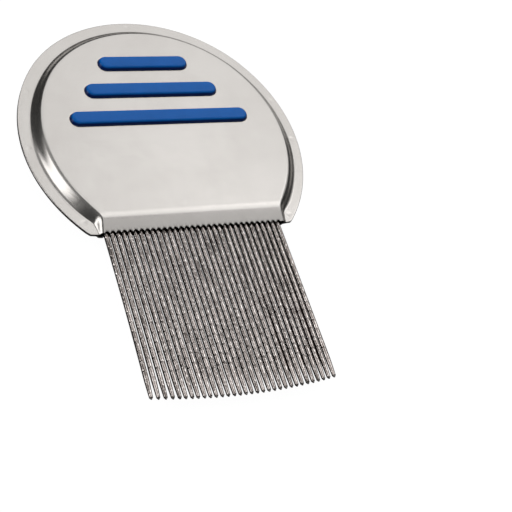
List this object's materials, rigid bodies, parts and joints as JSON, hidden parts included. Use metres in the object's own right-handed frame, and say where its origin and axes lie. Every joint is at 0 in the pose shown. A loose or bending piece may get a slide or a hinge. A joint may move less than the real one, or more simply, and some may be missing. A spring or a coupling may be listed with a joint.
{
  "type": "flea comb",
  "caption": "Fine-toothed metal comb with a flat, round-headed hollow steel handle, raised blue grip bars and a straight row of close, round, grooved steel teeth.",
  "frame": {"origin": "under the middle of the comb, on the plane that its rear ribs lie on", "axes": "+X along the row of teeth, +Y from the tooth tips to the head of the handle, +Z out of the front face"},
  "size_m": [0.0648, 0.099, 0.0062],
  "materials": {
    "handle_steel": "satin stainless sheet, fine grain",
    "tooth_steel": "ground round wire with a fine helical groove, polished tips",
    "grip_plastic": "smooth moulded, slight gloss",
    "holder_plastic": "plain moulded"
  },
  "bodies": {
    "root": {"front_shell": "handle_steel", "back_shell": "handle_steel", "grip_core": "grip_plastic", "tooth_holder": "holder_plastic", "tooth_01": "tooth_steel", "tooth_02": "tooth_steel", "tooth_03": "tooth_steel", "tooth_04": "tooth_steel", "tooth_05": "tooth_steel", "tooth_06": "tooth_steel", "tooth_07": "tooth_steel", "tooth_08": "tooth_steel", "tooth_09": "tooth_steel", "tooth_10": "tooth_steel", "tooth_11": "tooth_steel", "tooth_12": "tooth_steel", "tooth_13": "tooth_steel", "tooth_14": "tooth_steel", "tooth_15": "tooth_steel", "tooth_16": "tooth_steel", "tooth_17": "tooth_steel", "tooth_18": "tooth_steel", "tooth_19": "tooth_steel", "tooth_20": "tooth_steel", "tooth_21": "tooth_steel", "tooth_22": "tooth_steel", "tooth_23": "tooth_steel", "tooth_24": "tooth_steel", "tooth_25": "tooth_steel", "tooth_26": "tooth_steel", "tooth_27": "tooth_steel", "tooth_28": "tooth_steel", "tooth_29": "tooth_steel", "tooth_30": "tooth_steel", "tooth_31": "tooth_steel", "tooth_32": "tooth_steel"}
  },
  "joints": []
}
